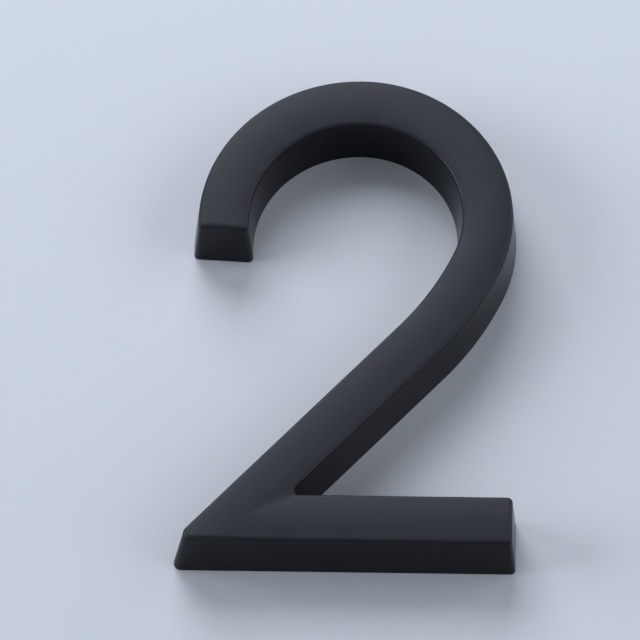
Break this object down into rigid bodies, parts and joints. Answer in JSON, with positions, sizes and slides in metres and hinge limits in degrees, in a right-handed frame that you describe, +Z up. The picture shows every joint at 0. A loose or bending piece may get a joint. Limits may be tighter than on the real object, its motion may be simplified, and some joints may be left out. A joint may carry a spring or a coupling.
{
  "type": "house number",
  "caption": "Moulded house number in the shape of a plain figure 2, with drafted walls, a slightly crowned front with rounded edges and a flat back that is stuck to a door or wall.",
  "frame": {"origin": "on the wall plane, where the arch's upright centre line meets the lower edge of the flat back", "axes": "+Z up the figure, +X to the right as it is read, +Y into the wall, so the front faces -Y"},
  "size_m": [0.0322, 0.006, 0.05],
  "materials": {
    "charcoal_plastic": "satin"
  },
  "bodies": {
    "root": {"numeral": "charcoal_plastic"}
  },
  "joints": []
}
